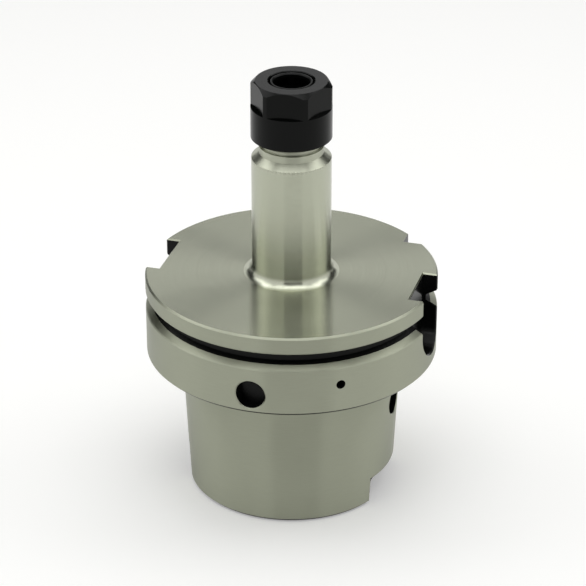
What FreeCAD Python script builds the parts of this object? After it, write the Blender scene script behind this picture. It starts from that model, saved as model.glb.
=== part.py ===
"""Collet chuck holder: hollow taper shank, gripper flange, neck and hexagon collet nut.

Millimetres, +Z towards the tool.  The origin is the centre of the flange's contact face, the ring
that pulls up against the spindle.  +X runs through the shallow keyway, the access hole and the
narrow flange slot.  Threads are modelled at their core diameters, the fine turns are left out.
"""
import FreeCAD, Part
import Sketcher
import math
import os
import re

V = FreeCAD.Vector
TOLERANCE = 1e-4          # two coordinates closer than this are the same
OVERRUN = "1"             # how far a cut starts outside the surface that it cuts
CORE_SHARE = "0.5413"     # depth of a metric thread's core, as a share of its pitch

# Driving dimensions: millimetres, and degrees where the name ends in _angle.
SIZES = {
    # flange
    "flange_diameter": 100.0,
    "flange_thickness": 29.0,
    "flange_face_chamfer": 1.0,
    "flange_top_chamfer": 0.6,
    "groove_height": 20.0,
    "groove_depth": 4.0,
    "groove_root_width": 1.9,
    "groove_included_angle": 60.0,
    "groove_edge_break": 0.3,
    # taper shank
    "shank_length": 50.0,
    "taper_gauge_diameter": 75.0,
    "taper_gauge_depth": 10.0,
    "taper_rate": 9.98,
    "shank_end_chamfer": 1.0,
    "corner_relief_width": 1.6,
    "corner_relief_depth": 0.4,
    "corner_relief_reach": 0.8,
    # hollow of the shank
    "mouth_diameter": 58.0,
    "clamping_bore_diameter": 53.0,
    "clamping_undercut_diameter": 63.0,
    "clamping_shoulder_depth": 28.56,
    "clamping_shoulder_angle": 30.0,
    "hollow_floor_depth": 8.0,
    # keyways in the shank's end
    "keyway_width": 30.0,
    "keyway_shallow_depth": 10.0,
    "keyway_deep_depth": 15.0,
    "keyway_corner_radius": 1.6,
    # slots and notch in the flange
    "slot_depth": 6.0,
    "slot_narrow_width": 20.0,
    "slot_wide_width": 22.0,
    "slot_round_height": 14.8,
    "slot_edge_chamfer": 0.5,
    "notch_inset": 18.5,
    "notch_floor_height": 20.0,
    # radial holes
    "access_hole_diameter": 12.0,
    "access_hole_depth": 15.0,
    "access_hole_chamfer": 0.3,
    "chip_hole_diameter": 10.0,
    "chip_hole_depth": 4.5,
    "chip_hole_height": 7.0,
    "chip_hole_chamfer": 0.4,
    "balance_hole_diameter": 3.2,
    "balance_hole_depth": 6.0,
    "balance_hole_height": 10.6,
    "balance_hole_angle": -55.0,
    # neck and nose
    "neck_diameter": 27.0,
    "neck_top_height": 71.7,
    "neck_foot_fillet": 3.0,
    "neck_cone_height": 2.0,
    "collar_height": 2.4,
    "nose_thread_diameter": 22.0,
    "nose_thread_length": 15.2,
    "nose_chamfer": 0.8,
    "fine_pitch": 1.5,
    "thread_clearance": 0.05,
    # collet seat and through bore
    "seat_mouth_diameter": 16.0,
    "seat_half_angle": 8.0,
    "seat_depth": 22.0,
    "seat_relief_diameter": 10.5,
    "stop_thread_depth": 34.3,
    "stop_thread_length": 27.0,
    "rear_bore_diameter": 11.0,
    "coolant_thread_diameter": 24.0,
    "coolant_thread_top": 12.0,
    # clamping nut
    "nut_diameter": 27.4,
    "nut_across_flats": 24.5,
    "nut_standoff": 2.9,
    "nut_height": 20.2,
    "nut_flat_length": 9.1,
    "nut_top_chamfer": 1.6,
    "nut_foot_chamfer": 0.3,
    "nut_turn_angle": -24.0,
    "nut_opening_diameter": 15.6,
    "nut_opening_chamfer": 0.25,
    "nut_lip_thickness": 2.9,
    "nut_entry_chamfer": 0.9,
    "nut_relief_diameter": 22.4,
    "nut_relief_width": 1.4,
    "nose_stop_gap": 0.1,
    # thrust ring in the nut
    "ring_diameter": 19.6,
    "ring_collar_height": 3.3,
    "ring_nose_diameter": 14.3,
    "ring_recess": 0.2,
    "ring_edge_chamfer": 0.2,
    "ring_bore_diameter": 12.4,
    "ring_bore_chamfer": 0.4,
    "ring_bore_length": 1.0,
    "ring_cone_half_angle": 30.0,
    "ring_groove_diameter": 16.4,
    "ring_lip_diameter": 15.4,
    "ring_lip_height": 0.8,
    "ring_lip_offset": 0.45,
    "ring_running_clearance": 0.05,
    # snap ring that holds the thrust ring in
    "snap_ring_height": 1.0,
    "snap_ring_width": 1.0,
    "snap_ring_play": 0.1,
    "snap_ring_hold": 0.45,
    "snap_ring_gap_angle": 30.0,
    # stop screw
    "stop_thread_diameter": 10.0,
    "stop_thread_pitch": 1.5,
    "stop_screw_length": 14.0,
    "stop_screw_chamfer": 0.8,
    "stop_screw_setback": 1.0,
    "stop_screw_socket": 5.0,
}

doc = FreeCAD.newDocument("collet_chuck_holder")
sheet = doc.addObject("Spreadsheet::Sheet", "Sizes")
for row, (alias, size) in enumerate(SIZES.items(), start=1):
    sheet.set("A%d" % row, alias.replace("_", " "))
    sheet.set("B%d" % row, str(size))
    sheet.setAlias("B%d" % row, alias)
doc.recompute()


# Lengths that several features share, each a formula of the sheet's cells.
SHARED = {
    "flange_radius": "flange_diameter / 2",
    "groove_root_radius": "flange_diameter / 2 - groove_depth",
    "slot_flat_distance": "flange_diameter / 2 - slot_depth",
    "notch_distance": "flange_diameter / 2 - notch_inset",
    "nose_thread_start": "neck_top_height + neck_cone_height + collar_height",
    "nose_face_height": "nose_thread_start + nose_thread_length",
    "stop_thread_top": "nose_face_height - stop_thread_depth",
    "stop_thread_bottom": "stop_thread_top - stop_thread_length",
    "nut_foot_height": "nose_thread_start + nut_standoff",
    "neck_radius": "neck_diameter / 2",
    "groove_slope": "tan(groove_included_angle / 2 * 1 deg)",
    "seat_slope": "tan(seat_half_angle * 1 deg)",
    "fine_core_radius": "nose_thread_diameter / 2 - fine_pitch * " + CORE_SHARE,
    "coolant_core_radius": "coolant_thread_diameter / 2 - fine_pitch * " + CORE_SHARE,
    "stop_core_radius": "stop_thread_diameter / 2 - stop_thread_pitch * " + CORE_SHARE,
    "nut_top": "nut_foot_height + nut_height",
    "nut_lip_underside": "nut_foot_height + nut_height - nut_lip_thickness",
    "ring_foot": "nut_foot_height + nut_height - nut_lip_thickness - ring_collar_height",
    "ring_top": "nut_foot_height + nut_height - ring_recess",
    "chamber_radius": "ring_diameter / 2 + ring_running_clearance",
    "snap_groove_radius": "ring_diameter / 2 + ring_running_clearance + snap_ring_hold",
    "snap_groove_floor": "nut_foot_height + nut_height - nut_lip_thickness - ring_collar_height"
                         " - snap_ring_height - snap_ring_play",
    "nut_land_underside": "nose_face_height + nose_stop_gap",
}


def bound(formula):
    """The formula with the shared lengths written out and every alias pointing at the sheet."""
    def swap(word):
        name = word.group(0)
        if name in SHARED:
            return "(" + bound(SHARED[name]) + ")"
        return "Sizes." + name if name in SIZES else name
    return re.sub(r"[a-z_]+", swap, formula)


def number(formula):
    """The value of a formula in millimetres."""
    result = sheet.evalExpression(bound(formula))
    return float(getattr(result, "Value", result))


def tie(feature, prop, formula):
    feature.setExpression(prop, bound(formula))


def origin_item(body, role):
    return next(item for item in body.Origin.OriginFeatures if item.Role == role)


def new_body(label):
    body = doc.addObject("PartDesign::Body", label)
    body.Label = label
    return body


def new_sketch(body, name, role, offset=None, turn=None):
    """A sketch on one of the body's own planes, moved along its normal and turned about it."""
    sketch = body.newObject("Sketcher::SketchObject", name)
    sketch.AttachmentSupport = (origin_item(body, role), "")
    sketch.MapMode = "FlatFace"
    if offset:
        tie(sketch, "AttachmentOffset.Base.z", offset)
    if turn:
        tie(sketch, "AttachmentOffset.Rotation.Angle", turn)
    return sketch


def pin_point(sketch, line, end, across, up):
    """Ties one end of a sketch line to formulas for its two coordinates."""
    for kind, formula in (("DistanceX", across), ("DistanceY", up)):
        value = number(formula)
        if abs(value) < 1e-9 and formula.strip() == "0":
            axis = -2 if kind == "DistanceX" else -1
            sketch.addConstraint(Sketcher.Constraint("PointOnObject", line, end, axis))
            continue
        index = sketch.addConstraint(Sketcher.Constraint(kind, -1, 1, line, end, value))
        tie(sketch, "Constraints[%d]" % index, formula)


def draw_polygon(sketch, corners):
    """A closed outline through corners, each a pair of formulas (across, up)."""
    places = [V(number(across), number(up), 0) for across, up in corners]
    lines = []
    for start, end in zip(places, places[1:] + places[:1]):
        lines.append(sketch.addGeometry(Part.LineSegment(start, end), False))
    for line, following in zip(lines, lines[1:] + lines[:1]):
        sketch.addConstraint(Sketcher.Constraint("Coincident", line, 2, following, 1))
    for line, (across, up) in zip(lines, corners):
        pin_point(sketch, line, 1, across, up)


def revolve(body, name, corners):
    """Turns an outline in the X-Z plane about the Z axis."""
    sketch = new_sketch(body, name + "_outline", "XZ_Plane")
    draw_polygon(sketch, corners)
    turned = body.newObject("PartDesign::Revolution", name)
    turned.Profile = sketch
    turned.ReferenceAxis = (sketch, ["V_Axis"])
    turned.Angle = 360
    doc.recompute()
    return turned


def pocket(body, name, sketch, outward, length=None, taper=None):
    """Cuts the sketch away, outward along its normal or inward against it."""
    before = body.Shape.Volume
    cut = body.newObject("PartDesign::Pocket", name)
    cut.Profile = sketch
    cut.Reversed = outward
    if length:
        cut.Type = "Length"
        tie(cut, "Length", length)
    else:
        cut.Type = "ThroughAll"
    if taper:
        cut.TaperAngle = taper
    doc.recompute()
    removed(body, name, before)
    return cut


def removed(body, name, before):
    """Stops the build if the last cut took nothing away."""
    if body.Shape.Volume > before - 1e-3:
        raise RuntimeError(name + " cuts nothing")


def radial_hole(body, name, diameter, inner, outer, height, angle="0"):
    """A round hole square to the axis, from one distance to another, at an angle from +X."""
    before = body.Shape.Volume
    hole = body.newObject("PartDesign::SubtractiveCylinder", name)
    tie(hole, "Radius", "(%s) / 2" % diameter)
    tie(hole, "Height", "(%s) - (%s)" % (outer, inner))
    tie(hole, "Placement.Base.x", "(%s) * cos((%s) * 1 deg)" % (inner, angle))
    tie(hole, "Placement.Base.y", "(%s) * sin((%s) * 1 deg)" % (inner, angle))
    tie(hole, "Placement.Base.z", height)
    direction = math.radians(number(angle))
    towards = V(math.cos(direction), math.sin(direction), 0)
    hole.Placement = FreeCAD.Placement(hole.Placement.Base, FreeCAD.Rotation(V(0, 0, 1), towards))
    doc.recompute()
    removed(body, name, before)
    return hole


def edges_where(shape, wanted):
    return ["Edge%d" % (i + 1) for i, edge in enumerate(shape.Edges) if wanted(edge)]


def dress_edges(body, kind, name, size, wanted):
    """A fillet or chamfer of the given size on every edge that the test picks."""
    base = body.Tip
    names = edges_where(base.Shape, wanted)
    if not names:
        raise RuntimeError(name + " finds no edge")
    dressing = body.newObject("PartDesign::" + kind, name)
    dressing.Base = (base, names)
    tie(dressing, "Radius" if kind == "Fillet" else "Size", size)
    doc.recompute()
    return dressing


def near(value, target):
    return abs(value - target) < TOLERANCE


def samples(edge):
    """Five points spread along an edge, its ends among them."""
    first, last = edge.FirstParameter, edge.LastParameter
    return [edge.valueAt(first + (last - first) * step / 4) for step in range(5)]


def reach(point):
    """A point's distance from the Z axis."""
    return math.hypot(point.x, point.y)


# --- holder body -------------------------------------------------------------------------------

def taper_radius(depth):
    """The shank's radius at a depth below the contact face."""
    return "(taper_gauge_diameter / 2 + (taper_gauge_depth - (%s)) / (2 * taper_rate))" % depth


def groove_edge(radius, side):
    """The height of the groove's flank at a radius, below (-1) or above (+1) its middle."""
    half = "(groove_root_width / 2 + ((%s) - groove_root_radius) * groove_slope)" % radius
    return "groove_height + (%d) * %s" % (side, half)


def cut_keyway(body, name, depth, outward):
    """A keyway across the wall of the shank's end, on the +X or the -X side."""
    sketch = new_sketch(body, name + "_outline", "YZ_Plane")
    floor = "-shank_length + " + depth
    below = "-shank_length - " + OVERRUN
    half = "keyway_width / 2"
    draw_polygon(sketch, [("-" + half, below), (half, below), (half, floor), ("-" + half, floor)])
    pocket(body, name, sketch, outward)
    side = 1 if outward else -1

    def is_corner(edge):
        return all(near(abs(p.y), number(half)) and near(p.z, number(floor)) and p.x * side > 0
                   for p in samples(edge))
    dress_edges(body, "Fillet", name + "_corners", "keyway_corner_radius", is_corner)


def cut_flange_slot(body, name, width, outward):
    """A slot with a flat back and a round end, open at the top of the flange."""
    side = 1 if outward else -1
    half = "%s / 2" % width
    top = "flange_thickness + " + OVERRUN
    sketch = new_sketch(body, name + "_outline", "YZ_Plane", offset="%d * slot_flat_distance" % side)
    wide, low, high = number(half), number("slot_round_height"), number(top)
    left = sketch.addGeometry(Part.LineSegment(V(-wide, high, 0), V(-wide, low, 0)), False)
    end = Part.ArcOfCircle(Part.Circle(V(0, low, 0), V(0, 0, 1), wide), math.pi, 2 * math.pi)
    round_end = sketch.addGeometry(end, False)
    right = sketch.addGeometry(Part.LineSegment(V(wide, low, 0), V(wide, high, 0)), False)
    lid = sketch.addGeometry(Part.LineSegment(V(wide, high, 0), V(-wide, high, 0)), False)
    for rule in (("Coincident", left, 2, round_end, 1), ("Coincident", round_end, 2, right, 1),
                 ("Coincident", right, 2, lid, 1), ("Coincident", lid, 2, left, 1),
                 ("Vertical", left), ("Vertical", right), ("Horizontal", lid),
                 ("PointOnObject", round_end, 3, -2), ("Horizontal", round_end, 3, round_end, 1)):
        sketch.addConstraint(Sketcher.Constraint(*rule))
    for rule, formula in ((("Radius", round_end), half),
                          (("DistanceY", -1, 1, round_end, 3), "slot_round_height"),
                          (("DistanceY", -1, 1, lid, 1), top)):
        index = sketch.addConstraint(Sketcher.Constraint(*rule, number(formula)))
        tie(sketch, "Constraints[%d]" % index, formula)
    pocket(body, name, sketch, outward)

    # the slot's top edges are chamfered by a shallow cut with sloping sides
    rim = new_sketch(body, name + "_chamfer_outline", "XY_Plane", offset="flange_thickness")
    back = "%d * (slot_flat_distance - slot_edge_chamfer)" % side
    out = "%d * flange_diameter" % side
    edge = half + " + slot_edge_chamfer"
    draw_polygon(rim, [(back, "-(%s)" % edge), (out, "-(%s)" % edge), (out, edge), (back, edge)])
    pocket(body, name + "_top_chamfer", rim, False, length="slot_edge_chamfer", taper=-45)

    def is_slot_edge(edge):
        return all(near(reach(p), number("flange_radius")) and p.x * side > 0
                   and abs(p.y) < number(half) + TOLERANCE for p in samples(edge))
    dress_edges(body, "Chamfer", name + "_rim_chamfer", "slot_edge_chamfer", is_slot_edge)


def make_holder_body():
    """One turned and ground steel piece, from the hollow shank to the threaded nose."""
    body = new_body("holder_body")
    shoulder_half = "(clamping_undercut_diameter - clamping_bore_diameter) / 4" \
                    " * tan(clamping_shoulder_angle * 1 deg)"
    broken = "flange_radius - groove_edge_break"
    relief = "%s - corner_relief_depth" % taper_radius("corner_relief_width")
    face_inner = "%s + corner_relief_reach" % taper_radius("0")
    nose_core = "fine_core_radius - thread_clearance"
    seat_end = "nose_face_height - seat_depth"
    entry = "(mouth_diameter - clamping_bore_diameter) / 2"
    revolve(body, "turned_form", [
        ("mouth_diameter / 2", "-shank_length"),
        (taper_radius("shank_length") + " - shank_end_chamfer", "-shank_length"),
        (taper_radius("shank_length - shank_end_chamfer"), "-shank_length + shank_end_chamfer"),
        (taper_radius("corner_relief_width"), "-corner_relief_width"),
        (relief, "-corner_relief_width + corner_relief_depth"),
        (relief, "corner_relief_depth"),
        (face_inner + " - corner_relief_depth", "corner_relief_depth"),
        (face_inner, "0"),
        ("flange_radius - flange_face_chamfer", "0"),
        ("flange_radius", "flange_face_chamfer"),
        ("flange_radius", groove_edge("flange_radius", -1) + " - groove_edge_break"),
        (broken, groove_edge(broken, -1)),
        ("groove_root_radius", "groove_height - groove_root_width / 2"),
        ("groove_root_radius", "groove_height + groove_root_width / 2"),
        (broken, groove_edge(broken, 1)),
        ("flange_radius", groove_edge("flange_radius", 1) + " + groove_edge_break"),
        ("flange_radius", "flange_thickness - flange_top_chamfer"),
        ("flange_radius - flange_top_chamfer", "flange_thickness"),
        ("neck_radius", "flange_thickness"),
        ("neck_radius", "neck_top_height"),
        ("nose_thread_diameter / 2", "neck_top_height + neck_cone_height"),
        ("nose_thread_diameter / 2", "nose_thread_start"),
        (nose_core, "nose_thread_start"),
        (nose_core, "nose_face_height - nose_chamfer"),
        (nose_core + " - nose_chamfer", "nose_face_height"),
        ("seat_mouth_diameter / 2", "nose_face_height"),
        ("seat_mouth_diameter / 2 - seat_depth * seat_slope", seat_end),
        ("seat_relief_diameter / 2", seat_end),
        ("seat_relief_diameter / 2", "stop_thread_top"),
        ("stop_core_radius", "stop_thread_top"),
        ("stop_core_radius", "stop_thread_bottom"),
        ("rear_bore_diameter / 2", "stop_thread_bottom"),
        ("rear_bore_diameter / 2", "coolant_thread_top"),
        ("coolant_core_radius", "coolant_thread_top"),
        ("coolant_core_radius", "-hollow_floor_depth"),
        ("clamping_undercut_diameter / 2", "-hollow_floor_depth"),
        ("clamping_undercut_diameter / 2", "-clamping_shoulder_depth + " + shoulder_half),
        ("clamping_bore_diameter / 2", "-clamping_shoulder_depth - " + shoulder_half),
        ("clamping_bore_diameter / 2", "-shank_length + " + entry),
    ])

    def is_neck_foot(edge):
        return all(near(p.z, number("flange_thickness")) and near(reach(p), number("neck_radius"))
                   for p in samples(edge))
    dress_edges(body, "Fillet", "neck_foot", "neck_foot_fillet", is_neck_foot)

    cut_keyway(body, "shallow_keyway", "keyway_shallow_depth", True)
    cut_keyway(body, "deep_keyway", "keyway_deep_depth", False)
    cut_flange_slot(body, "narrow_slot", "slot_narrow_width", True)
    cut_flange_slot(body, "wide_slot", "slot_wide_width", False)

    notch = new_sketch(body, "notch_outline", "XY_Plane", offset="flange_thickness")
    near_side, far_side = "notch_distance", "flange_diameter"
    draw_polygon(notch, [(near_side, near_side), (far_side, near_side),
                         (far_side, far_side), (near_side, far_side)])
    pocket(body, "orientation_notch", notch, False, length="flange_thickness - notch_floor_height")

    radial_hole(body, "access_hole", "access_hole_diameter", "clamping_bore_diameter / 2",
                "taper_gauge_diameter / 2 + " + OVERRUN, "-access_hole_depth")

    def is_access_mouth(edge):
        radius = number("access_hole_diameter / 2")
        return all(near(math.hypot(p.y, p.z + number("access_hole_depth")), radius)
                   and p.x > number("clamping_undercut_diameter / 2") for p in samples(edge))
    dress_edges(body, "Chamfer", "access_hole_edge", "access_hole_chamfer", is_access_mouth)
    radial_hole(body, "chip_hole", "chip_hole_diameter", "flange_radius - chip_hole_depth",
                "flange_radius + " + OVERRUN, "chip_hole_height", "-90")

    def is_chip_mouth(edge):
        radius = number("chip_hole_diameter / 2")
        return all(near(math.hypot(p.x, p.z - number("chip_hole_height")), radius)
                   and near(reach(p), number("flange_radius")) and p.y < 0 for p in samples(edge))
    dress_edges(body, "Chamfer", "chip_hole_edge", "chip_hole_chamfer", is_chip_mouth)
    radial_hole(body, "balance_hole", "balance_hole_diameter", "flange_radius - balance_hole_depth",
                "flange_radius + " + OVERRUN, "balance_hole_height", "balance_hole_angle")
    return body


# --- clamping nut ------------------------------------------------------------------------------

def make_clamping_nut():
    """The hexagon nut: threaded skirt, chamber for the thrust ring, and a front lip."""
    body = new_body("clamping_nut")
    opening = "nut_opening_diameter / 2"
    relief_floor = "nut_land_underside - nut_relief_width"
    revolve(body, "turned_form", [
        ("nut_diameter / 2 - nut_foot_chamfer", "nut_foot_height"),
        ("nut_diameter / 2", "nut_foot_height + nut_foot_chamfer"),
        ("nut_diameter / 2", "nut_top - nut_top_chamfer"),
        ("nut_diameter / 2 - nut_top_chamfer", "nut_top"),
        (opening + " + nut_opening_chamfer", "nut_top"),
        (opening, "nut_top - nut_opening_chamfer"),
        (opening, "nut_lip_underside"),
        ("chamber_radius", "nut_lip_underside"),
        ("chamber_radius", "ring_foot"),
        ("snap_groove_radius", "ring_foot"),
        ("snap_groove_radius", "snap_groove_floor"),
        ("chamber_radius", "snap_groove_floor"),
        ("chamber_radius", "nut_land_underside"),
        ("nut_relief_diameter / 2", "nut_land_underside"),
        ("nut_relief_diameter / 2", relief_floor),
        ("fine_core_radius", relief_floor),
        ("fine_core_radius", "nut_foot_height + nut_entry_chamfer"),
        ("fine_core_radius + nut_entry_chamfer", "nut_foot_height"),
    ])

    # one flat is milled away from the top, and the cut is repeated round the nut
    flat = new_sketch(body, "flat_outline", "XY_Plane", offset="nut_top - nut_flat_length",
                      turn="nut_turn_angle * 1 deg")
    inner, outer = "nut_across_flats / 2", "nut_diameter"
    draw_polygon(flat, [(inner, "-nut_diameter"), (outer, "-nut_diameter"),
                        (outer, "nut_diameter"), (inner, "nut_diameter")])
    milled = pocket(body, "wrench_flat", flat, True)
    pattern = body.newObject("PartDesign::PolarPattern", "wrench_flats")
    pattern.Originals = [milled]
    pattern.Axis = (origin_item(body, "Z_Axis"), [""])
    pattern.Angle = 360
    pattern.Occurrences = 6
    body.Tip = pattern
    doc.recompute()
    return body


# --- thrust ring -------------------------------------------------------------------------------

def make_thrust_ring():
    """The ring that stands still on the collet while the nut turns, with an off-centre lip."""
    body = new_body("thrust_ring")
    bore = "ring_bore_diameter / 2"
    groove = "ring_groove_diameter / 2"
    cone_top = "ring_top - ring_bore_chamfer - ring_bore_length"
    cone_height = "(ring_groove_diameter - ring_bore_diameter) / 2" \
                  " / tan(ring_cone_half_angle * 1 deg)"
    lip_bore = "ring_lip_diameter / 2 - ring_lip_offset"
    revolve(body, "turned_form", [
        ("ring_diameter / 2 - ring_edge_chamfer", "ring_foot"),
        ("ring_diameter / 2", "ring_foot + ring_edge_chamfer"),
        ("ring_diameter / 2", "nut_lip_underside"),
        ("ring_nose_diameter / 2", "nut_lip_underside"),
        ("ring_nose_diameter / 2", "ring_top - ring_edge_chamfer"),
        ("ring_nose_diameter / 2 - ring_edge_chamfer", "ring_top"),
        (bore + " + ring_bore_chamfer", "ring_top"),
        (bore, "ring_top - ring_bore_chamfer"),
        (bore, cone_top),
        (groove, cone_top + " - " + cone_height),
        (groove, "ring_foot + ring_lip_height"),
        (lip_bore, "ring_foot + ring_lip_height"),
        (lip_bore, "ring_foot"),
    ])
    before = body.Shape.Volume
    lip = body.newObject("PartDesign::SubtractiveCylinder", "off_centre_lip")
    tie(lip, "Radius", "ring_lip_diameter / 2")
    tie(lip, "Height", "ring_lip_height + " + OVERRUN)
    tie(lip, "Placement.Base.x", "ring_lip_offset")
    tie(lip, "Placement.Base.z", "ring_foot - " + OVERRUN)
    doc.recompute()
    removed(body, "off_centre_lip", before)
    return body


# --- snap ring ---------------------------------------------------------------------------------

def make_snap_ring():
    """Square wire, open by a gap, sprung into the nut's groove under the thrust ring."""
    body = new_body("snap_ring")
    sketch = new_sketch(body, "wire_section", "XZ_Plane")
    inner, outer = "snap_groove_radius - snap_ring_width", "snap_groove_radius"
    foot, top = "snap_groove_floor", "snap_groove_floor + snap_ring_height"
    draw_polygon(sketch, [(inner, foot), (outer, foot), (outer, top), (inner, top)])
    wire = body.newObject("PartDesign::Revolution", "bent_wire")
    wire.Profile = sketch
    wire.ReferenceAxis = (sketch, ["V_Axis"])
    tie(wire, "Angle", "360 - snap_ring_gap_angle")
    doc.recompute()
    return body


# --- stop screw --------------------------------------------------------------------------------

def make_stop_screw():
    """The hollow screw behind the collet that the tool's end rests on, turned by a hexagon key."""
    body = new_body("stop_screw")
    radius = "stop_core_radius - thread_clearance"
    foot = "(stop_thread_bottom + stop_screw_setback)"
    head = foot + " + stop_screw_length"
    outline = [("0", foot), (radius + " - stop_screw_chamfer", foot),
               (radius, foot + " + stop_screw_chamfer"), (radius, head + " - stop_screw_chamfer"),
               (radius + " - stop_screw_chamfer", head), ("0", head)]
    revolve(body, "turned_form", outline)
    socket = new_sketch(body, "socket_outline", "XY_Plane", offset=foot)
    corner = "stop_screw_socket / sqrt(3)"
    hexagon = [("%s * cos(%d deg)" % (corner, turn), "%s * sin(%d deg)" % (corner, turn))
               for turn in range(30, 390, 60)]
    draw_polygon(socket, hexagon)
    pocket(body, "key_socket", socket, True)
    return body


def check_and_write(bodies):
    """Stops on any failed feature or shape, then writes each piece to its own STEP file."""
    for item in doc.Objects:
        if "Invalid" in item.State or "Error" in item.State:
            raise RuntimeError("%s is %s" % (item.Name, item.State))
    for body in bodies:
        shape = body.Shape
        if shape.isNull() or not shape.isValid() or len(shape.Solids) != 1:
            raise RuntimeError(body.Label + " is not one valid solid")
    os.makedirs("parts", exist_ok=True)
    for body in bodies:
        body.Shape.exportStep("parts/%s.step" % body.Label)
        print("%-14s %9.1f mm3" % (body.Label, body.Shape.Volume))


pieces = [make_holder_body(), make_clamping_nut(), make_thrust_ring(), make_snap_ring(),
          make_stop_screw()]
doc.recompute()
check_and_write(pieces)
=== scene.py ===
"""Collet chuck holder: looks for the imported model, in metres, in the model's own frame."""
import math
import bpy
import numpy as np
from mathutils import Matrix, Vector


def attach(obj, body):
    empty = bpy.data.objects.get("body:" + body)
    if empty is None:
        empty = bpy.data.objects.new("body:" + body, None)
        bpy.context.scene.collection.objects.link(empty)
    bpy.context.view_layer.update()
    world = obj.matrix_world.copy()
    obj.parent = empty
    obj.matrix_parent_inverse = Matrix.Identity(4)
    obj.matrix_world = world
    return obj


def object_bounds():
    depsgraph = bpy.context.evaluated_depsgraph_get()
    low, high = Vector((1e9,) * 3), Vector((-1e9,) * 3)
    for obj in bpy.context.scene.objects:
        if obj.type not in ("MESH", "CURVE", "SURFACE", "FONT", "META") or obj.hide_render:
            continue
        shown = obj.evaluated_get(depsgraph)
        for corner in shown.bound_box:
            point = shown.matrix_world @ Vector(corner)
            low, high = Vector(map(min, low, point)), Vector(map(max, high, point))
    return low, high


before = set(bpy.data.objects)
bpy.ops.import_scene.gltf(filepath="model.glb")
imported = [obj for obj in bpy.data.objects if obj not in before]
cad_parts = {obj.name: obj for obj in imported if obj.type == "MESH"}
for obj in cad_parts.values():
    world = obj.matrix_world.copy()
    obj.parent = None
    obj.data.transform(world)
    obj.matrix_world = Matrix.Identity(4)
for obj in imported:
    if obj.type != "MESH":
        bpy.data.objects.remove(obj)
cad_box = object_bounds()


# --- holder body -------------------------------------------------------------------------------
# One piece of case-hardened steel.  It is turned, blackened all over, and then its working
# surfaces are ground or fine-turned bright: shank, contact face, rim, flange top, neck and nose.
# What the grinding wheel doesn't reach stays black: groove root, slots, keyways, holes, hollow.

def linear(hex_colour):
    """An sRGB hex colour as linear red, green, blue and alpha."""
    parts = [int(hex_colour[i:i + 2], 16) / 255 for i in (1, 3, 5)]
    return [c / 12.92 if c <= 0.04045 else ((c + 0.055) / 1.055) ** 2.4 for c in parts] + [1.0]


def add(tree, kind, inputs=None, **settings):
    """Adds a node, sets its properties, and fills its sockets with values or other sockets."""
    node = tree.nodes.new(kind)
    for name, value in settings.items():
        setattr(node, name, value)
    for socket, value in (inputs or {}).items():
        if isinstance(value, bpy.types.NodeSocket):
            tree.links.new(value, node.inputs[socket])
        else:
            node.inputs[socket].default_value = value
    return node


def new_material(name):
    """An empty node material and its output node."""
    material = bpy.data.materials.new(name)
    material.use_nodes = True
    material.node_tree.nodes.clear()
    return material, add(material.node_tree, "ShaderNodeOutputMaterial")


def combine(tree, operation, *values):
    """One or more math nodes in a row: the operation applied from left to right."""
    total = values[0]
    for value in values[1:]:
        total = add(tree, "ShaderNodeMath", {0: total, 1: value}, operation=operation).outputs[0]
    return total


def within(tree, *limits):
    """1 where each value lies between its low and high bound in millimetres, else 0."""
    tests = []
    for value, low, high in limits:
        if low is not None:
            tests.append(combine(tree, "GREATER_THAN", value, low * MM))
        if high is not None:
            tests.append(combine(tree, "LESS_THAN", value, high * MM))
    return combine(tree, "MULTIPLY", *tests)


def near_line(tree, across, up, height, radius):
    """1 within a radius of a straight hole's axis, from two distances square to that axis."""
    rise = combine(tree, "SUBTRACT", up, height * MM)
    squares = [combine(tree, "MULTIPLY", side, side) for side in (across, rise)]
    return combine(tree, "LESS_THAN", combine(tree, "ADD", *squares), (radius * MM) ** 2)


MM = 0.001
# the neck's colour is the same steel painted lighter, a painted highlight for the brighter light on
# the neck
BLACK_OXIDE, NECK_PAINTED_LIGHT = "#060706", "#B3B6A5"
GROUND_STEEL = ("#989B8A", "#A2A594")

# limits of the black recesses in millimetres, each a hair past the wall that it stands for
RIM = 49.97
GROOVE_FOOT, GROOVE_TOP, GROUND_FLANK = 16.9, 23.1, 47.6
SLOT_FOOT, SLOT_TOP, SLOT_FLAT = 4.0, 28.55, 43.9
SLOT_HALVES = {1: 10.6, -1: 11.6}
NOTCH_FOOT, NOTCH_TOP, NOTCH_SIDE = 19.5, 28.9, 31.4
KEYWAY_HALF, KEYWAY_TOPS = 15.05, {1: -39.95, -1: -34.95}
SHANK_END, HOLLOW_R, HOLLOW_TOP = -48.98, 32.5, -0.1
BORE_R, BORE_FOOT = 6.0, -9.0
EDGE_FOOT, EDGE_TOP, EDGE_INSIDE = 0.02, 0.98, 45.0
RELIEF_FOOT, RELIEF_TOP, RELIEF_INSIDE, RELIEF_OUTSIDE = -1.62, 0.44, 36.0, 38.79
CHIP_R, CHIP_HEIGHT, CHIP_FLOOR = 5.02, 7.0, -44.0
SMALL_HOLE_R, SMALL_HOLE_HEIGHT, SMALL_HOLE_TURN = 1.65, 10.6, math.radians(-55)
ACCESS_R, ACCESS_HEIGHT = 6.02, -15.0
NOSE_FOOT, NOSE_TOP, NOSE_R = 79.5, 92.0, 10.9

# where the finish of the bare steel changes, in millimetres
FACE_FOOT, FACE_TOP, FACE_R = 28.98, 29.01, 49.5
NECK_R, CONE_R, CONE_FOOT = 16.6, 13.49, 71.0

# roughness: neck and flange top are turned finer than the ground surfaces, the cone coarser
BARE_ROUGH, NECK_FINER, FACE_FINER, CONE_COARSER, OXIDE_ROUGH = 0.28, -0.13, -0.13, 0.10, 0.24

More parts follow.
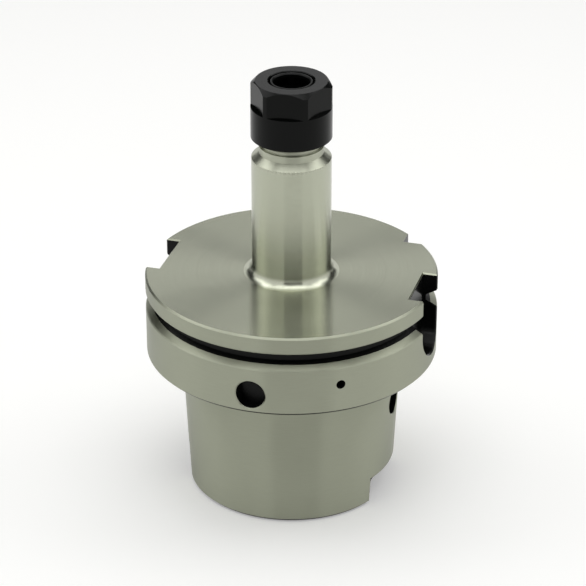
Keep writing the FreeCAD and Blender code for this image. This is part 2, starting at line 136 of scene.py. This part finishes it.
# the marks of wheel and tool run round the axis, so they change quickly with radius and height
# and slowly round it.  They are drawn 0.4 mm apart and 5 mm long, because the real ones, 0.02 mm
# apart, are too fine to show.  Handling leaves faint patches, 14 mm across
MARK_GAP, MARK_LENGTH, RING_GAP, PATCHES_PER_METRE = 0.4, 5.0, 1.1, 70.0


def ground_steel(name):
    """Bare ground and fine-turned steel, with black oxide where the wheel doesn't reach. The neck is
    painted lighter as painted light, and the shank's end chamfer black, partly as painted shade.
    """
    material, output = new_material(name)
    tree = material.node_tree
    place = add(tree, "ShaderNodeTexCoord").outputs["Object"]
    axes = add(tree, "ShaderNodeSeparateXYZ", {0: place}).outputs
    x, y, z = axes["X"], axes["Y"], axes["Z"]
    flat = add(tree, "ShaderNodeVectorMath", {0: place, 1: (1, 1, 0)}, operation="MULTIPLY")
    r = add(tree, "ShaderNodeVectorMath", {0: flat.outputs[0]}, operation="LENGTH").outputs["Value"]
    wide_y = combine(tree, "ABSOLUTE", y, 0.0)
    sides = {side: combine(tree, "MULTIPLY", x, side) for side in (1, -1)}
    inside_rim = (r, None, RIM)

    groove = within(tree, (z, GROOVE_FOOT, GROOVE_TOP), (r, None, GROUND_FLANK))
    slots = [within(tree, (wide_y, None, half), (sides[side], SLOT_FLAT, None),
                    (z, SLOT_FOOT, SLOT_TOP), inside_rim) for side, half in SLOT_HALVES.items()]
    notch = within(tree, (x, NOTCH_SIDE, None), (y, NOTCH_SIDE, None),
                   (z, NOTCH_FOOT, NOTCH_TOP), inside_rim)
    keyways = [within(tree, (wide_y, None, KEYWAY_HALF), (sides[side], 0.0, None), (z, None, top))
               for side, top in KEYWAY_TOPS.items()]
    # the shank's end chamfer is painted black: black oxide that the wheel misses, and also painted
    # shade for the dark reflection of the floor beneath it
    shank_end_oxide_and_shade = within(tree, (z, None, SHANK_END))
    hollow = within(tree, (r, None, HOLLOW_R), (z, None, HOLLOW_TOP))
    bore = within(tree, (r, None, BORE_R), (z, BORE_FOOT, None))
    edge_below_rim = within(tree, (z, EDGE_FOOT, EDGE_TOP), (r, EDGE_INSIDE, None))
    corner_relief = within(tree, (z, RELIEF_FOOT, RELIEF_TOP), (r, RELIEF_INSIDE, RELIEF_OUTSIDE))
    chip = combine(tree, "MULTIPLY", near_line(tree, x, z, CHIP_HEIGHT, CHIP_R),
                   within(tree, (y, None, CHIP_FLOOR), inside_rim))
    sideways = combine(tree, "ADD", combine(tree, "MULTIPLY", x, -math.sin(SMALL_HOLE_TURN)),
                       combine(tree, "MULTIPLY", y, math.cos(SMALL_HOLE_TURN)))
    small_hole = combine(tree, "MULTIPLY",
                         near_line(tree, sideways, z, SMALL_HOLE_HEIGHT, SMALL_HOLE_R),
                         within(tree, (x, 0.0, None), inside_rim))
    access = combine(tree, "MULTIPLY", near_line(tree, y, z, ACCESS_HEIGHT, ACCESS_R),
                     within(tree, (x, 0.0, None)))
    inside_nut = within(tree, (z, NOSE_FOOT, NOSE_TOP), (r, None, NOSE_R))
    black = combine(tree, "MAXIMUM", groove, *slots, notch, *keyways, shank_end_oxide_and_shade, hollow, bore,
                    edge_below_rim, corner_relief, chip, small_hole, access, inside_nut)

    across_marks = combine(tree, "MULTIPLY", combine(tree, "ADD", r, z), 1 / (MARK_GAP * MM))
    along_marks = [combine(tree, "MULTIPLY", axis, 1 / (MARK_LENGTH * MM)) for axis in (x, y)]
    lie = add(tree, "ShaderNodeCombineXYZ", dict(zip("XYZ", (*along_marks, across_marks))))
    marks = add(tree, "ShaderNodeTexNoise", {"Vector": lie.outputs[0], "Scale": 1.0,
                                            "Detail": 4.0, "Roughness": 0.75}).outputs["Fac"]
    # turning leaves whole rings on the flange's top, a little lighter and darker by turns
    ring = add(tree, "ShaderNodeTexNoise", {
        "Vector": add(tree, "ShaderNodeCombineXYZ", {"X": r}).outputs[0],
        "Scale": 1 / (RING_GAP * MM), "Detail": 3.0}).outputs["Fac"]
    patches = add(tree, "ShaderNodeTexNoise", {"Vector": place, "Scale": PATCHES_PER_METRE,
                                              "Detail": 2.0})

    neck = within(tree, (r, None, NECK_R), (z, FACE_TOP, None))
    cone = within(tree, (r, None, CONE_R), (z, CONE_FOOT, None))
    face = within(tree, (z, FACE_FOOT, FACE_TOP), (r, None, FACE_R))
    finish = combine(tree, "ADD", combine(tree, "MULTIPLY", neck, NECK_FINER),
                     combine(tree, "MULTIPLY", cone, CONE_COARSER),
                     combine(tree, "MULTIPLY", face, FACE_FINER))
    bare_rough = combine(tree, "ADD", combine(tree, "MULTIPLY", marks, 0.10),
                         combine(tree, "MULTIPLY", patches.outputs["Fac"], 0.06), finish,
                         BARE_ROUGH)
    rough = add(tree, "ShaderNodeMix", {0: black, 2: bare_rough, 3: OXIDE_ROUGH}).outputs[0]
    rings_on_face = add(tree, "ShaderNodeMix", {0: face, 2: marks, 3: ring}).outputs[0]
    dark, pale = (linear(colour) for colour in GROUND_STEEL)
    ground = add(tree, "ShaderNodeMix", {0: rings_on_face, 6: dark, 7: pale},
                 data_type="RGBA").outputs[2]
    # painted light: the neck gets a lighter copy of the steel colour
    tint = add(tree, "ShaderNodeMix", {0: neck, 6: ground, 7: linear(NECK_PAINTED_LIGHT)},
               data_type="RGBA").outputs[2]
    colour = add(tree, "ShaderNodeMix", {0: black, 6: tint, 7: linear(BLACK_OXIDE)},
                 data_type="RGBA").outputs[2]
    bump = add(tree, "ShaderNodeBump", {"Height": marks, "Strength": 0.10, "Distance": 0.00002})
    # the tangent runs round the axis, and a quarter turn puts the broad side of each highlight
    # square to the marks
    tangent = add(tree, "ShaderNodeTangent", direction_type="RADIAL", axis="Z")
    shader = add(tree, "ShaderNodeBsdfPrincipled", {
        "Base Color": colour, "Metallic": combine(tree, "SUBTRACT", 1.0, black),
        "Roughness": rough, "Anisotropic": 1.0, "Anisotropic Rotation": 0.25,
        "Specular IOR Level": 0.15, "Normal": bump.outputs[0], "Tangent": tangent.outputs[0]})
    tree.links.new(shader.outputs[0], output.inputs["Surface"])
    return material


def paint(node, material):
    """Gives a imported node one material."""
    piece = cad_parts[node]
    piece.data.materials.clear()
    piece.data.materials.append(material)


paint("holder_body", ground_steel("ground steel, black in its recesses"))


# --- thread on the nose ------------------------------------------------------------------------
# A fine right-hand thread, 22 mm by 1.5 mm, cut on the nose.  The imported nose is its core, so
# this piece is the ridge alone, wound on the core and running out to nothing at both ends.

THREAD_PITCH, THREAD_CREST_R, THREAD_CORE_R = 1.5, 10.97, 10.1
THREAD_FOOT, THREAD_TOP = 76.6, 90.3


def thread_ridge(name, steps_per_turn=96):
    """A ridge of trapezium section carried along a helix: the point at angle a has height
    foot + pitch * a / 2pi, and the section shrinks to a line over the first and last half turn."""
    turns = (THREAD_TOP - THREAD_FOOT) / THREAD_PITCH
    angle = np.linspace(0, 2 * np.pi * turns, int(turns * steps_per_turn))
    fade = np.clip(np.minimum(angle, angle[-1] - angle) / np.pi, 0.02, 1.0)
    out = np.array([0.0, 1.0, 1.0, 0.0])
    up = np.array([-0.62, -0.10, 0.10, 0.62])
    radius = THREAD_CORE_R + out[None, :] * (THREAD_CREST_R - THREAD_CORE_R) * fade[:, None]
    height = THREAD_FOOT + THREAD_PITCH * angle[:, None] / (2 * np.pi) + up[None, :] * fade[:, None]
    points = np.stack([radius * np.cos(angle[:, None]), radius * np.sin(angle[:, None]), height], -1)
    rows, sides = radius.shape
    first = np.arange(rows - 1)[:, None] * sides + np.arange(sides)[None, :]
    beside = np.arange(rows - 1)[:, None] * sides + (np.arange(sides)[None, :] + 1) % sides
    faces = np.stack([first, first + sides, beside + sides, beside], -1).reshape(-1, 4)
    ends = [list(range(sides)), list(range((rows - 1) * sides, rows * sides))[::-1]]
    mesh = bpy.data.meshes.new(name)
    mesh.from_pydata((points.reshape(-1, 3) * MM).tolist(), [], faces.tolist() + ends)
    mesh.validate()
    piece = bpy.data.objects.new(name, mesh)
    bpy.context.scene.collection.objects.link(piece)
    return piece


def thread_steel(name):
    """Bare turned steel on a thread, rougher than ground steel, its colour painted darker as painted
    shade for the thread.
    """
    material, output = new_material(name)
    tree = material.node_tree
    shader = add(tree, "ShaderNodeBsdfPrincipled", {"Base Color": linear("#8E9080"),
                                                    "Metallic": 1.0, "Roughness": 0.35})
    tree.links.new(shader.outputs[0], output.inputs["Surface"])
    return material


nose_thread = thread_ridge("nose_thread")
nose_thread.data.materials.append(thread_steel("turned thread steel"))
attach(nose_thread, "holder")


# --- clamping nut ------------------------------------------------------------------------------
# Turned from bar, milled to six flats, hardened and blackened in hot salts.  The oxide is thin,
# so the turning and milling marks still show through it as a soft semi-gloss.

NUT_OXIDE = ("#050605", "#090B0A")
TURNING_PER_METRE, CLOUDS_PER_METRE = 3500.0, 160.0


def black_oxide(name, roughness, mark_depth):
    """Black oxide on turned steel: very dark, with a faint sheen that grows at a shallow angle.
    The turning marks are drawn 0.3 mm apart, coarser than the real ones, so that they show."""
    material, output = new_material(name)
    tree = material.node_tree
    place = add(tree, "ShaderNodeTexCoord").outputs["Object"]
    axes = add(tree, "ShaderNodeSeparateXYZ", {0: place}).outputs
    flat = add(tree, "ShaderNodeVectorMath", {0: place, 1: (1, 1, 0)}, operation="MULTIPLY")
    r = add(tree, "ShaderNodeVectorMath", {0: flat.outputs[0]}, operation="LENGTH").outputs["Value"]
    rings = add(tree, "ShaderNodeCombineXYZ", {"X": combine(tree, "MULTIPLY", r, TURNING_PER_METRE),
                                              "Y": combine(tree, "MULTIPLY", axes["Z"],
                                                           TURNING_PER_METRE)})
    marks = add(tree, "ShaderNodeTexNoise", {"Vector": rings.outputs[0], "Scale": 1.0,
                                            "Detail": 2.0, "Roughness": 0.6}).outputs["Fac"]
    patches = add(tree, "ShaderNodeTexNoise", {"Vector": place, "Scale": CLOUDS_PER_METRE,
                                              "Detail": 3.0})
    cloud = patches.outputs["Fac"]
    rough = combine(tree, "ADD", combine(tree, "MULTIPLY", marks, 0.12),
                    combine(tree, "MULTIPLY", cloud, 0.10), roughness - 0.11)
    colour = add(tree, "ShaderNodeMix", {0: cloud, 6: linear(NUT_OXIDE[0]),
                                         7: linear(NUT_OXIDE[1])}, data_type="RGBA").outputs[2]
    bump = add(tree, "ShaderNodeBump", {"Height": marks, "Strength": mark_depth,
                                       "Distance": 0.00002})
    shader = add(tree, "ShaderNodeBsdfPrincipled", {
        "Base Color": colour, "Roughness": rough, "Specular IOR Level": 0.12,
        "Normal": bump.outputs[0]})
    tree.links.new(shader.outputs[0], output.inputs["Surface"])
    return material


paint("clamping_nut", black_oxide("black oxide on the nut", 0.22, 0.15))


# --- thrust ring -------------------------------------------------------------------------------
# A small turned ring that shows as a second, finer ring in the nut's face.  Hardened and blackened.

paint("thrust_ring", black_oxide("black oxide on the thrust ring", 0.34, 0.10))


# --- snap ring ---------------------------------------------------------------------------------
# Square spring wire, sprung into the nut's inner groove under the thrust ring.

def spring_steel(name):
    """Drawn spring wire, oil-tempered to a dark grey."""
    material, output = new_material(name)
    tree = material.node_tree
    place = add(tree, "ShaderNodeTexCoord").outputs["Object"]
    cloud = add(tree, "ShaderNodeTexNoise", {"Vector": place, "Scale": 400.0}).outputs["Fac"]
    colour = add(tree, "ShaderNodeMix", {0: cloud, 6: linear("#3A3B3A"), 7: linear("#565753")},
                 data_type="RGBA").outputs[2]
    shader = add(tree, "ShaderNodeBsdfPrincipled", {"Base Color": colour, "Metallic": 1.0,
                                                    "Roughness": 0.4})
    tree.links.new(shader.outputs[0], output.inputs["Surface"])
    return material


paint("snap_ring", spring_steel("oil-tempered spring wire"))


# --- stop screw --------------------------------------------------------------------------------
# A hollow hexagon-socket screw in the bore.  Blackened like the nut.

paint("stop_screw", black_oxide("black oxide on the stop screw", 0.36, 0.10))


# --- floor and world ---------------------------------------------------------------------------
# A pale, matt sheet under the object, seen as white, which keeps the object's soft shadow.

FLOOR_Z = cad_box[0].z


def seen_directly(tree):
    """1 for rays from the eye, a mirror or glass, and 0 for rays that only light a surface."""
    rays = add(tree, "ShaderNodeLightPath").outputs
    return combine(tree, "MAXIMUM", rays["Is Camera Ray"], rays["Is Glossy Ray"],
                   rays["Is Transmission Ray"])


def pale_floor(name, own_light):
    """White matt paper.  To the eye and in reflections it also glows a little, up to white."""
    material, output = new_material(name)
    tree = material.node_tree
    glow_strength = combine(tree, "MULTIPLY", seen_directly(tree), own_light)
    paper = add(tree, "ShaderNodeBsdfDiffuse", {"Color": linear("#DEDEDC")})
    glow = add(tree, "ShaderNodeEmission", {"Color": linear("#FFFFFF"),
                                            "Strength": glow_strength})
    both = add(tree, "ShaderNodeAddShader", {0: paper.outputs[0], 1: glow.outputs[0]})
    tree.links.new(both.outputs[0], output.inputs["Surface"])
    return material


def floor_disc(name, radius):
    """A flat disc: one face, its corner at angle a at (radius cos a, radius sin a)."""
    spokes = np.linspace(0, 2 * np.pi, 96, endpoint=False)
    edge = np.stack([radius * np.cos(spokes), radius * np.sin(spokes),
                     np.full(spokes.size, FLOOR_Z)], -1)
    mesh = bpy.data.meshes.new(name)
    mesh.from_pydata(edge.tolist(), [], [list(range(spokes.size))])
    piece = bpy.data.objects.new(name, mesh)
    bpy.context.scene.collection.objects.link(piece)
    return piece


floor = floor_disc("floor", 4.0)
floor.data.materials.append(pale_floor("white paper", 0.30))

scene = bpy.context.scene
world = bpy.data.worlds.new("studio")
world.use_nodes = True
world.node_tree.nodes.clear()
tree = world.node_tree
# the world lights the object dimly, but looks white
strength = add(tree, "ShaderNodeMix", {0: seen_directly(tree), 2: 0.45, 3: 1.0}).outputs[0]
sky = add(tree, "ShaderNodeBackground", {"Color": linear("#FFFFFF"), "Strength": strength})
tree.links.new(sky.outputs[0], add(tree, "ShaderNodeOutputWorld").inputs["Surface"])
scene.world = world


# --- lamps -------------------------------------------------------------------------------------
# Soft boxes round and over the object.  Bright metal shows them as broad bands of light, and the
# black flags between them as the dark bands that give it its edges.

def place_round(item, azimuth, elevation, distance):
    """Puts a thing on a sphere round the flange, its face towards the centre."""
    a, e = math.radians(azimuth), math.radians(elevation)
    back = Vector((math.sin(a) * math.cos(e), -math.cos(a) * math.cos(e), math.sin(e)))
    item.location = back * distance + Vector((0, 0, 0.04))
    item.rotation_euler = (-back).to_track_quat("-Z", "Y").to_euler()
    scene.collection.objects.link(item)


def soft_box(name, azimuth, elevation, distance, size, brightness):
    """A rectangular lamp; brightness is its radiance, so 1 looks as bright as the background."""
    lamp = bpy.data.lights.new(name, "AREA")
    lamp.shape, lamp.size, lamp.size_y = "RECTANGLE", *size
    lamp.energy = brightness * math.pi * size[0] * size[1]
    place_round(bpy.data.objects.new(name, lamp), azimuth, elevation, distance)


def dark_card(name, azimuth, elevation, distance, size):
    """A black flag, as photographers hang beside the lens, so that bright metal has an edge."""
    wide, high = size[0] / 2, size[1] / 2
    corners = [(-wide, -high, 0), (wide, -high, 0), (wide, high, 0), (-wide, high, 0)]
    mesh = bpy.data.meshes.new(name)
    mesh.from_pydata(corners, [], [[0, 1, 2, 3]])
    card = bpy.data.objects.new(name, mesh)
    material, output = new_material(name)
    cloth = add(material.node_tree, "ShaderNodeBsdfDiffuse", {"Color": linear("#303030")})
    material.node_tree.links.new(cloth.outputs[0], output.inputs["Surface"])
    mesh.materials.append(material)
    card.visible_camera = False
    place_round(card, azimuth, elevation, distance)


soft_box("top box", 196, 85, 0.9, (0.9, 1.2), 1.6)
soft_box("brow box", 16, 62, 1.0, (0.5, 0.10), 3.0)
soft_box("left box", -90, 45, 1.0, (0.6, 0.6), 1.5)
soft_box("right box", 120, 45, 1.0, (0.6, 0.6), 1.5)
dark_card("flag at the lens", 21, 28, 1.6, (1.4, 1.1))
dark_card("left rear flag", -124, 28, 1.6, (0.9, 1.5))
dark_card("right rear flag", 156, 28, 1.6, (0.9, 1.5))
dark_card("rear flag", 196, 43, 1.6, (1.3, 0.5))


# --- camera ------------------------------------------------------------------------------------
# A long lens, above the object and a little to one side.  Everything is in focus.

CAMERA_PLACE = Vector((0.2311, -0.8060, 0.4542))
CAMERA_AIM = Vector((0.0005, 0.0001, 0.0201))
LENS, SENSOR = 169.03, 36.0

camera = bpy.data.cameras.new("camera")
camera.lens, camera.sensor_width = LENS, SENSOR
camera.clip_start, camera.clip_end = 0.05, 20.0
eye = bpy.data.objects.new("camera", camera)
eye.location = CAMERA_PLACE
eye.rotation_euler = (CAMERA_AIM - CAMERA_PLACE).to_track_quat("-Z", "Y").to_euler()
scene.collection.objects.link(eye)
scene.camera = eye
scene.view_settings.view_transform = "Standard"
